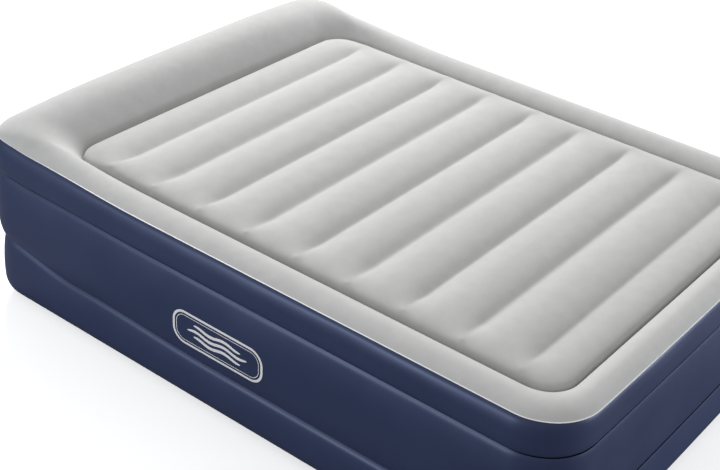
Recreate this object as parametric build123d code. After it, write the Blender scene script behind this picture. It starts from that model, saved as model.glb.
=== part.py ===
from build123d import *
import math
import os

# Raised air mattress with a pillow end, three side bands and a built-in pump.
# Millimetres. +Z up, +Y towards the head, origin on the floor under the middle.

# ---- driving dimensions: bladder ----
SEAM_HALF_W = 741.0       # top seam, half width across X
SEAM_HALF_L = 1018.0      # top seam, half length along Y
SIDE_BULGE = 19.0         # the middle band stands this far outside the seam
END_BOW = 10.0            # head and foot bow out between the corners
SEAM_CORNER_R = 122.0
SHEET_T = 2.0             # stand-in thickness of the PVC sheets
WEB_T = 1.5               # stand-in thickness of the inner webs
LOWER_GROOVE_Z = 165.0
UPPER_GROOVE_Z = 428.0
SEAM_Z = 538.0
FOOT_ROUND_R = 80.0       # rounding from the wall to the floor
UPPER_BULGE = 8.0

SEAM_INSET = 4.5          # the top sheet stops this far inside the seam's outline
RIM_W = 110.0             # from the seam to the groove round the sleeping panel
PANEL_HALF_W = SEAM_HALF_W - SEAM_INSET - RIM_W
PANEL_HEAD_Y = 774.0
PANEL_FOOT_Y = -SEAM_HALF_L + SEAM_INSET + RIM_W
PANEL_CORNER_R = 80.0
GROOVE_Z = 531.0
CHANNEL_RISE = 22.0       # crown of a channel above its grooves
CHANNEL_PITCH = 177.0
FIRST_GROOVE_Y = 621.0
BEAM_COUNT = 9
BEAM_HALF_W = 540.0
RIM_RISE = 32.0           # crest of the rim above the seam and groove
PILLOW_RISE = 74.0        # further rise of the head end
BLEND_Y = 520.0           # the rim starts to rise towards the pillow here
TOP_DROP = 3.0            # thickness of the top sheet, measured straight down
GAP = 0.3                 # room between pieces that are welded or meet

# ---- driving dimensions: pump, set in the middle band of the +X side ----
PUMP_Y = 600.0
PUMP_Z = (LOWER_GROOVE_Z + UPPER_GROOVE_Z) / 2
PLATE_W, PLATE_H, PLATE_T = 222.0, 132.0, 4.0
PLATE_FRONT_X = 756.0
PLATE_BACK_X = PLATE_FRONT_X - PLATE_T
SEAL_T, COLLAR_T, FLANGE_T = 3.4, 3.0, 3.0
COLLAR_FRONT_X = PLATE_BACK_X - SEAL_T - 0.6
COLLAR_BACK_X = COLLAR_FRONT_X - COLLAR_T
FLANGE_FRONT_X = COLLAR_BACK_X - 0.2
INNER_W, INNER_H = 200.0, 112.0       # the housing's outside, and the inside of the seal
HOUSING_BACK_X = 635.5
HOUSING_WALL = 2.5
SCREW_Y, SCREW_Z = 103.0, 58.0

KNOB_Y, KNOB_Z = PUMP_Y - 62.0, PUMP_Z + 8.0
KNOB_R, KNOB_SHAFT_R = 27.0, 5.0
DISH_R, DISH_FLOOR_X = 30.0, 744.0
DRUM_R, DRUM_BACK_X, DRUM_FRONT_X = 22.0, 700.0, 738.0

SWITCH_Y, SWITCH_Z = PUMP_Y - 62.0, PUMP_Z - 42.0
ROCKER_PIN_R, ROCKER_PIN_X = 1.2, 751.0
ROCKER_TILT = 7.0

BAY_Y = PUMP_Y + 50.0
BAY_W, BAY_H = 88.0, 92.0             # opening in the face plate
BAY_BACK_X = 700.0
DOOR_PIN_R = 0.8
DOOR_PIN_X, DOOR_PIN_Z = 754.6, PUMP_Z - 43.8
BORE_CLEARANCE = 0.05

MOTOR_X, MOTOR_Z = 680.0, PUMP_Z
SHAFT_R, MOTOR_R = 2.5, 19.0
FAN_Y = PUMP_Y - 8.0                  # middle of the impeller
FAN_R, FAN_W = 33.0, 16.0
VOLUTE_R = 40.0
VALVE_BORE_R, VALVE_DISC_R = 13.0, 16.0


def box_between(low, high):
    """A box from its lowest to its highest corner."""
    size = [b - a for a, b in zip(low, high)]
    middle = [(a + b) / 2 for a, b in zip(low, high)]
    return Pos(*middle) * Box(*size)


def rod_x(radius, x0, x1, y, z):
    """A round bar along X."""
    return Pos((x0 + x1) / 2, y, z) * Rot(0, 90, 0) * Cylinder(radius, x1 - x0)


def rod_y(radius, y0, y1, x, z):
    """A round bar along Y."""
    return Pos(x, (y0 + y1) / 2, z) * Rot(90, 0, 0) * Cylinder(radius, y1 - y0)


def rod_z(radius, z0, z1, x, y):
    """A round bar along Z."""
    return Pos(x, y, (z0 + z1) / 2) * Cylinder(radius, z1 - z0)


def plate_x(width, height, x0, x1, y, z, corner):
    """A rounded plate square to X: width along Y, height along Z."""
    sketch = Plane.YZ * RectangleRounded(width, height, corner)
    return Pos(x0, y, z) * extrude(sketch, x1 - x0)


# ---- bladder ----


def seam_outline():
    """The seam seen from above: straight sides, slightly bowed ends and rounded corners."""
    cx, cy = SEAM_HALF_W, SEAM_HALF_L - END_BOW
    sides = Curve() + [
        ThreePointArc((-cx, -cy), (0, -SEAM_HALF_L), (cx, -cy)),
        Line((cx, -cy), (cx, cy)),
        ThreePointArc((cx, cy), (0, SEAM_HALF_L), (-cx, cy)),
        Line((-cx, cy), (-cx, -cy)),
    ]
    face = make_face(sides)
    return fillet(face.vertices(), SEAM_CORNER_R)


def slab(inset, z0, z1):
    """A flat slab of the seam's outline, moved in by inset."""
    outline = seam_outline()
    if inset:
        outline = offset(outline, -inset)
    return Pos(0, 0, z0) * extrude(outline, z1 - z0)


def ring(inset_out, inset_in, z0, z1):
    """A flat ring that follows the seam's outline."""
    return slab(inset_out, z0, z1) - slab(inset_in, z0, z1)


def swept_round(profile):
    """Carries a profile round the bladder. It is drawn with X outwards from the seam and Y as height."""
    path = seam_outline().face().outer_wire()
    start = Plane(origin=(SEAM_HALF_W, 0, 0), x_dir=(1, 0, 0), z_dir=(0, -1, 0))
    return sweep(start * profile, path=path)


def arched_band(z0, z1, bulge):
    """One tier of the side wall, bulging between two weld lines."""
    mid = (z0 + z1) / 2
    profile = make_face(
        Curve()
        + [
            ThreePointArc((0, z0), (bulge, mid), (0, z1)),
            Line((0, z1), (-SHEET_T, z1)),
            ThreePointArc((-SHEET_T, z1), (bulge - SHEET_T, mid), (-SHEET_T, z0)),
            Line((-SHEET_T, z0), (0, z0)),
        ]
    )
    return swept_round(profile)


def make_lower_band():
    """The tier that rounds under to the floor."""
    r, t = FOOT_ROUND_R, SHEET_T
    bulge = 10.0
    cx, cz = bulge - r, r
    k = math.sqrt(0.5)
    top = LOWER_GROOVE_Z
    mid = (cz + top) / 2
    lean = bulge * 0.75
    profile = make_face(
        Curve()
        + [
            ThreePointArc((cx, 0), (cx + r * k, cz - r * k), (bulge, cz)),
            ThreePointArc((bulge, cz), (lean, mid), (0, top)),
            Line((0, top), (-t, top)),
            ThreePointArc((-t, top), (lean - t, mid), (bulge - t, cz)),
            ThreePointArc((bulge - t, cz), (cx + (r - t) * k, cz - (r - t) * k), (cx, t)),
            Line((cx, t), (cx, 0)),
        ]
    )
    return swept_round(profile)


def make_middle_band():
    band = arched_band(LOWER_GROOVE_Z, UPPER_GROOVE_Z, SIDE_BULGE)
    hole = plate_x(PLATE_W + 4, PLATE_H + 4, 700, 800, PUMP_Y, PUMP_Z, 22)
    return band - hole


def make_bottom_sheet():
    return slab(FOOT_ROUND_R - 10.0 + GAP, 0, SHEET_T)


def make_bottom_seam():
    inset = FOOT_ROUND_R - 10.0 + 1.0
    return ring(inset, inset + 14, SHEET_T + 0.2, SHEET_T + 0.2 + WEB_T)


def make_top_seam():
    return ring(-5, 4, SEAM_Z + 0.2, SEAM_Z + 3.2)


def waist_web(z):
    """A girth web: a flat ring inside the wall, level with a side groove."""
    return ring(SHEET_T + GAP, 42, z - WEB_T / 2, z + WEB_T / 2)


def ease(t):
    """Rises smoothly from 0 to 1."""
    t = min(max(t, 0.0), 1.0)
    return t * t * (3 - 2 * t)


def arch_edges(width, rise, fall):
    """Top line of an arch from the seam (0) to the groove (width), crested near the seam."""
    z0, z1 = SEAM_Z + 0.7, GROOVE_Z
    shape = [(0, 0), (0.06, 0.38), (0.18, 0.76), (0.38, 1.0), (0.6, 0.82), (0.82, 0.38), (1, 0)]
    points = [(width * s, z0 + (z1 - z0) * s + rise * h - fall) for s, h in shape]
    return Spline(*points)


def arch_profile(width, rise):
    """Closed section of the top sheet between the seam and the panel's groove."""
    top, under = arch_edges(width, rise, 0), arch_edges(width, rise, TOP_DROP)
    ends = [Line(under @ 0, top @ 0), Line(top @ 1, under @ 1)]
    return make_face(Curve() + [top, under] + ends)


def arch_section(seam, groove, rise):
    """An arch profile standing upright between a point on the seam and one on the groove."""
    start, end = Vector(*seam, 0), Vector(*groove, 0)
    along = (end - start).normalized()
    plane = Plane(origin=start, x_dir=along, z_dir=along.cross(Vector(0, 0, 1)))
    return plane * arch_profile((end - start).length, rise)


def make_rim():
    """Low rim along both sides and the foot."""
    top = swept_round(Pos(-SEAM_INSET, 0) * mirror(arch_profile(RIM_W, RIM_RISE), Plane.YZ))
    return top - box_between((-900, BLEND_Y, 400), (900, 1200, 800))


def head_stations():
    """Seam point, groove point and rise for each section from the near side of the head end to its middle."""
    seam_x, groove_x = SEAM_HALF_W - SEAM_INSET, PANEL_HALF_W
    outer, inner = SEAM_CORNER_R - SEAM_INSET, PANEL_CORNER_R
    turn_y = SEAM_HALF_L - END_BOW * 0.65 - SEAM_CORNER_R
    groove_turn_y = PANEL_HEAD_Y - inner
    places = []
    for i in range(6):
        s = i / 6
        seam = (seam_x, BLEND_Y + (turn_y - BLEND_Y) * s)
        groove = (groove_x, BLEND_Y + (groove_turn_y - BLEND_Y) * s)
        places.append((seam, groove))
    for i in range(9):
        angle = math.radians(90 * i / 8)
        c, s = math.cos(angle), math.sin(angle)
        seam = (seam_x - outer + outer * c, turn_y + outer * s)
        groove = (groove_x - inner + inner * c, groove_turn_y + inner * s)
        places.append((seam, groove))
    places.append(((300, SEAM_HALF_L - SEAM_INSET - 2), (300, PANEL_HEAD_Y)))
    last_low = 10
    return [
        (seam, groove, RIM_RISE + PILLOW_RISE * ease(i / last_low))
        for i, (seam, groove) in enumerate(places)
    ]


def make_pillow():
    """Raised head end, blending out of the rim on both sides."""
    far = head_stations()
    near = [((-s[0], s[1]), (-g[0], g[1]), rise) for s, g, rise in reversed(far)]
    head = loft([arch_section(*place) for place in far + near], ruled=True)
    return head & slab(SEAM_INSET, SEAM_Z - 60, SEAM_Z + 160)


def make_channel(y0, y1, drop):
    """The space under one channel: a long arch with sloping ends."""
    chord = y1 - y0
    radius = (chord * chord / 4 + CHANNEL_RISE**2) / (2 * CHANNEL_RISE)
    top = GROOVE_Z + CHANNEL_RISE
    arch = Pos(0, (y0 + y1) / 2, top - radius) * Rot(0, 90, 0) * Cylinder(radius, 1300)
    half, slope = PANEL_HALF_W - 30, 70
    ends = Polyline(
        (-half, GROOVE_Z), (-half + slope, top + 1), (half - slope, top + 1), (half, GROOVE_Z),
        close=True,
    )
    prism = Pos(0, y1, 0) * extrude(Plane.XZ * make_face(ends), y1 - y0)
    return Pos(0, 0, -drop) * (arch & prism)


def groove_lines():
    """Where the sheet is welded down across the panel, from its head end to its foot end."""
    grooves = [FIRST_GROOVE_Y - i * CHANNEL_PITCH for i in range(BEAM_COUNT)]
    return [PANEL_HEAD_Y - 12] + grooves + [PANEL_FOOT_Y + 4]


def make_panel():
    """Flat margin with ten channels pressed up out of it."""
    inset = SEAM_INSET + RIM_W - 1
    z0, z1 = GROOVE_Z - TOP_DROP, GROOVE_Z
    plate = slab(inset, z0, z1) & box_between((-900, -1200, z0 - 1), (900, PANEL_HEAD_Y + 1, z1 + 1))
    corners = plate.edges().filter_by(Axis.Z).group_by(Axis.Y)[-1]
    plate = fillet(corners, PANEL_CORNER_R)
    lines = groove_lines()
    weld = 1.5
    spans = [(low + weld, high - weld) for high, low in zip(lines, lines[1:])]
    plate += [make_channel(low, high, 0) for low, high in spans]
    return plate - [make_channel(low, high, TOP_DROP) for low, high in spans]


def make_top_sheet():
    """The flocked top in one piece: rim, pillow and channelled panel."""
    return make_rim() + make_pillow() + make_panel()


def i_beam(length, z_top):
    """An I-beam of sheet along X: a web with a flange welded to the bottom and one to the top."""
    z0 = SHEET_T + 0.2
    flange = 14.0
    web = box_between((-length / 2, -WEB_T / 2, z0), (length / 2, WEB_T / 2, z_top))
    top = box_between((-length / 2, -flange, z_top - WEB_T), (length / 2, flange, z_top))
    bottom = box_between((-length / 2, -flange, z0), (length / 2, flange, z0 + WEB_T))
    vents = [
        Pos(x, 0, z_top / 2) * Rot(90, 0, 0) * Cylinder(35, 20)
        for x in (-length / 3, 0, length / 3)
    ]
    return web + top + bottom - vents


BEAM_TOP_Z = GROOVE_Z - TOP_DROP - 3.0


def make_beam(index):
    """A beam under one groove of the sleeping panel, the first one next to the head."""
    y = FIRST_GROOVE_Y - index * CHANNEL_PITCH
    return Pos(0, y, 0) * i_beam(2 * BEAM_HALF_W, BEAM_TOP_Z)


def make_edge_beam(side):
    """A beam under the groove round the panel."""
    mid_y = (PANEL_HEAD_Y + PANEL_FOOT_Y) / 2
    long_way = PANEL_HEAD_Y - PANEL_FOOT_Y - 260
    across = 2 * PANEL_HALF_W - 260
    if side == "near":
        return Pos(-PANEL_HALF_W, mid_y, 0) * Rot(0, 0, 90) * i_beam(long_way, BEAM_TOP_Z)
    if side == "far":
        beam = Pos(PANEL_HALF_W, mid_y, 0) * Rot(0, 0, 90) * i_beam(long_way, BEAM_TOP_Z)
        room = box_between((600, PUMP_Y - 60, PUMP_Z - 55), (660, PUMP_Y + 40, PUMP_Z + 55))
        return beam - room
    if side == "head":
        return Pos(0, PANEL_HEAD_Y, 0) * i_beam(across, BEAM_TOP_Z)
    return Pos(0, PANEL_FOOT_Y, 0) * i_beam(across, BEAM_TOP_Z)


# ---- pump: shells and mounting ----


def screw_places():
    return [(PUMP_Y + i * SCREW_Y, PUMP_Z + j * SCREW_Z) for i in (-1, 1) for j in (-1, 1)]


def screw_holes(radius, x0, x1):
    return [rod_x(radius, x0, x1, y, z) for y, z in screw_places()]


def make_pump_collar():
    outer = plate_x(256, 166, COLLAR_BACK_X, COLLAR_FRONT_X, PUMP_Y, PUMP_Z, 34)
    inner = plate_x(INNER_W, INNER_H, COLLAR_BACK_X, COLLAR_FRONT_X, PUMP_Y, PUMP_Z, 12)
    return outer - inner - screw_holes(2.2, COLLAR_BACK_X, COLLAR_FRONT_X)


def make_seal_ring():
    x0, x1 = COLLAR_FRONT_X + 0.2, COLLAR_FRONT_X + 0.2 + SEAL_T
    outer = plate_x(PLATE_W - 2, PLATE_H - 2, x0, x1, PUMP_Y, PUMP_Z, 19)
    inner = plate_x(INNER_W, INNER_H, x0, x1, PUMP_Y, PUMP_Z, 12)
    return outer - inner - screw_holes(2.2, x0, x1)


def make_face_plate():
    """Moulded front with the knob's dish, the switch opening, the bay opening and air slots."""
    x0, x1 = PLATE_BACK_X, PLATE_FRONT_X
    plate = plate_x(PLATE_W, PLATE_H, x0, x1, PUMP_Y, PUMP_Z, 20)
    front_edges = plate.faces().sort_by(Axis.X)[-1].edges()
    plate = fillet(front_edges, 1.2)
    dish = rod_x(DISH_R + 2.5, DISH_FLOOR_X - 2.5, x0 + 1, KNOB_Y, KNOB_Z)
    plate = plate + dish
    plate -= rod_x(DISH_R, DISH_FLOOR_X, x1 + 1, KNOB_Y, KNOB_Z)
    plate -= rod_x(KNOB_SHAFT_R + BORE_CLEARANCE, DISH_FLOOR_X - 3, x1, KNOB_Y, KNOB_Z)
    plate -= plate_x(24, 14, x0 - 1, x1 + 1, SWITCH_Y, SWITCH_Z, 1.5)
    plate -= plate_x(BAY_W, BAY_H, x0 - 1, x1 + 1, BAY_Y, PUMP_Z, 1)
    plate -= rod_y(DOOR_PIN_R + BORE_CLEARANCE, BAY_Y - 49, BAY_Y + 49, DOOR_PIN_X, DOOR_PIN_Z)
    slots = [
        plate_x(3, 20, x0 - 1, x1 + 1, SWITCH_Y - 36 + 6 * i, SWITCH_Z, 1.4) for i in range(3)
    ]
    plate -= slots
    plate -= screw_holes(2.2, x0 - 1, x1 + 1)
    return plate - screw_holes(4.4, x1 - 2.9, x1 + 1)


def make_pump_housing():
    """Deep cup behind the plate, with a flange, a screw boss at each corner and the blower's outlet."""
    w, h, wall = INNER_W - 0.6, INNER_H - 0.6, HOUSING_WALL
    flange_back = FLANGE_FRONT_X - FLANGE_T
    cup = plate_x(w, h, HOUSING_BACK_X, FLANGE_FRONT_X, PUMP_Y, PUMP_Z, 12)
    flange = plate_x(236, 146, flange_back, FLANGE_FRONT_X, PUMP_Y, PUMP_Z, 26)
    hollow = plate_x(
        w - 2 * wall, h - 2 * wall, HOUSING_BACK_X + wall, FLANGE_FRONT_X + 1, PUMP_Y, PUMP_Z, 9.5
    )
    outlet = rod_x(VALVE_BORE_R, HOUSING_BACK_X - 1, HOUSING_BACK_X + 5, FAN_Y, MOTOR_Z)
    return cup + flange - hollow - outlet - screw_holes(2.0, flange_back - 1, FLANGE_FRONT_X + 1)


def make_plate_screws():
    """Four pan-head screws through plate, seal, collar and flange, with cross slots."""
    screws = []
    head_top = PLATE_FRONT_X - 0.3
    for y, z in screw_places():
        head = rod_x(4.0, head_top - 2.4, head_top, y, z)
        shank = rod_x(1.9, 734.0, head_top - 2.4, y, z)
        slot_a = box_between((head_top - 1.2, y - 2.4, z - 0.5), (head_top + 1, y + 2.4, z + 0.5))
        slot_b = box_between((head_top - 1.2, y - 0.5, z - 2.4), (head_top + 1, y + 0.5, z + 2.4))
        screws.append(head + shank - slot_a - slot_b)
    return Compound(children=screws)


# ---- pump: control knob and air director ----


def make_control_knob():
    """A disc with a grip bar and its shaft stub, turning in the plate's dish."""
    back = DISH_FLOOR_X + 0.5
    disc = rod_x(KNOB_R, back, back + 4.5, KNOB_Y, KNOB_Z)
    rim_edge = disc.edges().sort_by(Axis.X)[-1]
    disc = fillet(rim_edge, 1.2)
    bar = plate_x(13, 2 * KNOB_R - 5, back + 4.4, back + 11.2, KNOB_Y, KNOB_Z, 5.5)
    bar = fillet(bar.faces().sort_by(Axis.X)[-1].edges(), 1.5)
    bore = rod_x(KNOB_SHAFT_R, back - 1, back + 6, KNOB_Y, KNOB_Z)
    return disc + bar - bore


def make_director_drum():
    """Shaft and hollow drum whose window picks the inflate or the deflate path."""
    shaft = rod_x(KNOB_SHAFT_R, DRUM_FRONT_X - 1, DISH_FLOOR_X + 6.5, KNOB_Y, KNOB_Z)
    drum = rod_x(DRUM_R, DRUM_BACK_X, DRUM_FRONT_X, KNOB_Y, KNOB_Z)
    drum -= rod_x(DRUM_R - 2, DRUM_BACK_X - 1, DRUM_FRONT_X - 3, KNOB_Y, KNOB_Z)
    window = box_between(
        (DRUM_BACK_X + 8, KNOB_Y, KNOB_Z - 11), (DRUM_FRONT_X - 8, KNOB_Y + 40, KNOB_Z + 11)
    )
    return drum - window + shaft


def make_director_sleeve():
    """Fixed sleeve round the drum, open to the blower's eye and to the outside slots."""
    x0, x1 = DRUM_BACK_X - 2, DRUM_FRONT_X + 2
    sleeve = rod_x(DRUM_R + 3, x0, x1, KNOB_Y, KNOB_Z)
    sleeve -= rod_x(DRUM_R + 0.5, x0 - 1, x1 + 1, KNOB_Y, KNOB_Z)
    eye_port = box_between(
        (x0 + 10, KNOB_Y, KNOB_Z - 10), (x1 - 10, KNOB_Y + 40, KNOB_Z + 10)
    )
    out_port = box_between(
        (x0 + 10, KNOB_Y - 10, KNOB_Z - 40), (x1 - 10, KNOB_Y + 10, KNOB_Z)
    )
    return sleeve - eye_port - out_port


# ---- pump: rocker switch ----


def make_switch_frame():
    body = plate_x(23.6, 13.6, 737, PLATE_FRONT_X + 0.2, SWITCH_Y, SWITCH_Z, 1.4)
    lip = plate_x(28, 18, PLATE_FRONT_X + 0.2, PLATE_FRONT_X + 1.4, SWITCH_Y, SWITCH_Z, 2)
    hollow = plate_x(21, 11, 739, PLATE_FRONT_X + 3, SWITCH_Y, SWITCH_Z, 0.8)
    pin_hole = rod_z(ROCKER_PIN_R, SWITCH_Z - 6.4, SWITCH_Z + 6.4, ROCKER_PIN_X, SWITCH_Y)
    return body + lip - hollow - pin_hole


def make_rocker_pin():
    return rod_z(ROCKER_PIN_R, SWITCH_Z - 6.4, SWITCH_Z + 6.4, ROCKER_PIN_X, SWITCH_Y)


def make_rocker_switch():
    """A paddle with a shallow dished front, stored in its off position."""
    rocker = box_between(
        (ROCKER_PIN_X - 3, SWITCH_Y - 9.4, SWITCH_Z - 5),
        (ROCKER_PIN_X + 6.4, SWITCH_Y + 9.4, SWITCH_Z + 5),
    )
    rocker -= rod_z(30, SWITCH_Z - 6, SWITCH_Z + 6, ROCKER_PIN_X + 34.9, SWITCH_Y)
    rocker -= rod_z(
        ROCKER_PIN_R + BORE_CLEARANCE, SWITCH_Z - 6, SWITCH_Z + 6, ROCKER_PIN_X, SWITCH_Y
    )
    turn = Pos(ROCKER_PIN_X, SWITCH_Y, 0) * Rot(0, 0, -ROCKER_TILT) * Pos(-ROCKER_PIN_X, -SWITCH_Y, 0)
    return turn * rocker


# ---- pump: cord bay ----


def make_cord_bay():
    """Tray behind the bay opening, with a flange behind the plate."""
    front = PLATE_BACK_X - 0.2
    tray = plate_x(BAY_W - 1, BAY_H - 1, BAY_BACK_X, front, BAY_Y, PUMP_Z, 4)
    flange = plate_x(BAY_W + 6, BAY_H + 6, front - 2, front, BAY_Y, PUMP_Z, 6)
    hollow = plate_x(BAY_W - 5, BAY_H - 5, BAY_BACK_X + 2, front + 1, BAY_Y, PUMP_Z, 3)
    gland_hole = rod_x(5.2, BAY_BACK_X - 1, BAY_BACK_X + 3, BAY_Y + 30, PUMP_Z + 34)
    return tray + flange - hollow - gland_hole


def make_cord_gland():
    """Inlet bush where a mains lead would enter the housing."""
    y, z = BAY_Y + 30, PUMP_Z + 34
    body = rod_x(5.1, BAY_BACK_X - 8, BAY_BACK_X + 2.1, y, z)
    head = rod_x(7.5, BAY_BACK_X + 2.1, BAY_BACK_X + 6, y, z)
    return body + head - rod_x(3.3, BAY_BACK_X - 9, BAY_BACK_X + 7, y, z)


def make_cord_bay_door():
    """Flap with a hinge barrel along its lower edge and a finger ledge along its upper edge."""
    half = BAY_W / 2 - 1
    x0, x1 = DOOR_PIN_X - 1.8, DOOR_PIN_X + 0.6
    z1 = PUMP_Z + BAY_H / 2 - 1
    panel = box_between((x0, BAY_Y - half, DOOR_PIN_Z), (x1, BAY_Y + half, z1))
    barrel = rod_y(1.8, BAY_Y - half, BAY_Y + half, DOOR_PIN_X, DOOR_PIN_Z)
    ledge = box_between((x1 - 0.5, BAY_Y - 14, z1 - 6), (x1 + 3, BAY_Y + 14, z1 - 3))
    bore = rod_y(
        DOOR_PIN_R + BORE_CLEARANCE, BAY_Y - half - 1, BAY_Y + half + 1, DOOR_PIN_X, DOOR_PIN_Z
    )
    return panel + barrel + ledge - bore


def make_door_pin():
    return rod_y(DOOR_PIN_R, BAY_Y - 48.5, BAY_Y + 48.5, DOOR_PIN_X, DOOR_PIN_Z)


# ---- pump: motor and blower ----

CAN_Y0, CAN_Y1 = PUMP_Y + 6.0, PUMP_Y + 62.0


def make_motor_can():
    can = rod_y(MOTOR_R, CAN_Y0 + 2, CAN_Y1, MOTOR_X, MOTOR_Z)
    can -= rod_y(MOTOR_R - 1.5, CAN_Y0 + 1, CAN_Y1 - 2, MOTOR_X, MOTOR_Z)
    boss = rod_y(7, CAN_Y1 - 8, CAN_Y1 + 1, MOTOR_X, MOTOR_Z)
    return can + boss - rod_y(4.6, CAN_Y1 - 9, CAN_Y1 - 1, MOTOR_X, MOTOR_Z)


def make_motor_end_cap():
    cap = rod_y(MOTOR_R, CAN_Y0, CAN_Y0 + 1.8, MOTOR_X, MOTOR_Z)
    boss = rod_y(7, CAN_Y0, CAN_Y0 + 6, MOTOR_X, MOTOR_Z)
    return cap + boss - rod_y(4.6, CAN_Y0 - 1, CAN_Y0 + 7, MOTOR_X, MOTOR_Z)


def make_motor_bearings():
    bushes = []
    for y0 in (CAN_Y0 + 0.5, CAN_Y1 - 7.5):
        bush = rod_y(4.5, y0, y0 + 5, MOTOR_X, MOTOR_Z)
        bushes.append(bush - rod_y(SHAFT_R + BORE_CLEARANCE, y0 - 1, y0 + 6, MOTOR_X, MOTOR_Z))
    return Compound(children=bushes)


def make_stator_core():
    core = rod_y(MOTOR_R - 1.7, CAN_Y0 + 12, CAN_Y1 - 12, MOTOR_X, MOTOR_Z)
    return core - rod_y(12.2, CAN_Y0 + 11, CAN_Y1 - 11, MOTOR_X, MOTOR_Z)


def make_motor_shaft():
    return rod_y(SHAFT_R, PUMP_Y - 17.0, CAN_Y1 - 1.5, MOTOR_X, MOTOR_Z)


def make_armature():
    """Slotted core and commutator on the shaft."""
    core = rod_y(11.5, CAN_Y0 + 13, CAN_Y1 - 15, MOTOR_X, MOTOR_Z)
    for i in range(8):
        slot = Pos(MOTOR_X, 0, MOTOR_Z) * Rot(0, 45 * i, 0) * Pos(10, 0, 0)
        core -= slot * box_between((-2.5, CAN_Y0, -0.8), (3, CAN_Y1, 0.8))
    commutator = rod_y(5.5, CAN_Y1 - 15, CAN_Y1 - 9, MOTOR_X, MOTOR_Z)
    return core + commutator - rod_y(SHAFT_R, CAN_Y0, CAN_Y1, MOTOR_X, MOTOR_Z)


def make_motor_cushion():
    """Rubber sleeve that holds the motor in its cradle."""
    sleeve = rod_y(MOTOR_R + 3.2, PUMP_Y + 26, PUMP_Y + 42, MOTOR_X, MOTOR_Z)
    sleeve -= rod_y(MOTOR_R + 0.2, PUMP_Y + 25, PUMP_Y + 43, MOTOR_X, MOTOR_Z)
    return sleeve & box_between((600, 0, 0), (BAY_BACK_X - 0.4, 1000, 1000))


def make_motor_cradle():
    """Saddle on the housing's back wall."""
    saddle = box_between(
        (HOUSING_BACK_X + HOUSING_WALL + 0.2, PUMP_Y + 28, MOTOR_Z - 27),
        (MOTOR_X - 4, PUMP_Y + 40, MOTOR_Z + 27),
    )
    return saddle - rod_y(MOTOR_R + 3.5, PUMP_Y + 20, PUMP_Y + 50, MOTOR_X, MOTOR_Z)


def make_impeller():
    """Back plate, hub and ten curved blades, pressed on the shaft."""
    y0, y1 = FAN_Y - FAN_W / 2, FAN_Y + FAN_W / 2
    fan = rod_y(FAN_R, y1 - 2, y1, MOTOR_X, MOTOR_Z) + rod_y(7, y0, y1, MOTOR_X, MOTOR_Z)
    for i in range(10):
        turn = Pos(MOTOR_X, 0, MOTOR_Z) * Rot(0, 36 * i, 0)
        arc = Pos(20, 0, 14) * Rot(90, 0, 0) * (Circle(17) - Circle(15.8))
        blade = Pos(0, y1 - 1, 0) * extrude(arc, FAN_W - 3)
        blade &= rod_y(FAN_R - 0.5, y0, y1, 0, 0) & box_between((6, y0, -14), (40, y1, 10))
        fan += turn * blade
    return fan - rod_y(SHAFT_R, y0 - 1, y1 + 1, MOTOR_X, MOTOR_Z)


def make_volute_body():
    """Blower casing: a cup round the impeller, with a mouth towards the check valve."""
    y0, y1 = PUMP_Y - 18, PUMP_Y + 4
    body = rod_y(VOLUTE_R, y0, y1, MOTOR_X, MOTOR_Z)
    body -= rod_y(VOLUTE_R - 2, y0 - 1, y1 - 2, MOTOR_X, MOTOR_Z)
    body -= rod_y(SHAFT_R + 1, y0, y1 + 1, MOTOR_X, MOTOR_Z)
    mouth = box_between(
        (MOTOR_X - 60, FAN_Y - 8, MOTOR_Z - 9), (MOTOR_X - 30, FAN_Y + 8, MOTOR_Z + 9)
    )
    return body - mouth


def make_volute_cover():
    cover = rod_y(VOLUTE_R, PUMP_Y - 20, PUMP_Y - 18.1, MOTOR_X, MOTOR_Z)
    return cover - rod_y(15, PUMP_Y - 21, PUMP_Y - 17, MOTOR_X, MOTOR_Z)


# ---- pump: check valve into the mattress ----

SEAT_BACK_X = HOUSING_BACK_X - 3.2


def make_valve_seat():
    seat = rod_x(21, SEAT_BACK_X, HOUSING_BACK_X - 0.1, FAN_Y, MOTOR_Z)
    return seat - rod_x(VALVE_BORE_R, SEAT_BACK_X - 1, HOUSING_BACK_X, FAN_Y, MOTOR_Z)


def make_valve_disc():
    disc = rod_x(VALVE_DISC_R, SEAT_BACK_X - 2.3, SEAT_BACK_X - 0.3, FAN_Y, MOTOR_Z)
    return disc + rod_x(2, SEAT_BACK_X - 22, SEAT_BACK_X - 2, FAN_Y, MOTOR_Z)


def make_valve_cage():
    """Hub that guides the stem, on three legs from the seat."""
    hub = rod_x(7, SEAT_BACK_X - 19, SEAT_BACK_X - 16, FAN_Y, MOTOR_Z)
    for i in range(3):
        turn = Pos(0, FAN_Y, MOTOR_Z) * Rot(120 * i, 0, 0)
        arm = box_between((SEAT_BACK_X - 19, -2, 4), (SEAT_BACK_X - 16, 2, 20))
        leg = box_between((SEAT_BACK_X - 19, -2, 17.5), (SEAT_BACK_X - 0.1, 2, 20))
        hub += turn * (arm + leg)
    return hub - rod_x(2.05, SEAT_BACK_X - 20, SEAT_BACK_X - 15, FAN_Y, MOTOR_Z)


def make_valve_spring():
    """Light coil between the cage's hub and the disc."""
    length = 12.4
    coil = Helix(pitch=length / 5, height=length, radius=4.6)
    wire = sweep((coil ^ 0) * Circle(0.45), path=coil, is_frenet=True)
    return Pos(SEAT_BACK_X - 15.9 + 0.55, FAN_Y, MOTOR_Z) * Rot(0, 90, 0) * wire


# ---- pump: leads inside the housing ----


def lead(points, bend):
    """A round lead along straight runs joined by arcs."""
    path = FilletPolyline(*points, radius=bend)
    return sweep((path ^ 0) * Circle(2.2), path=path)


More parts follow.
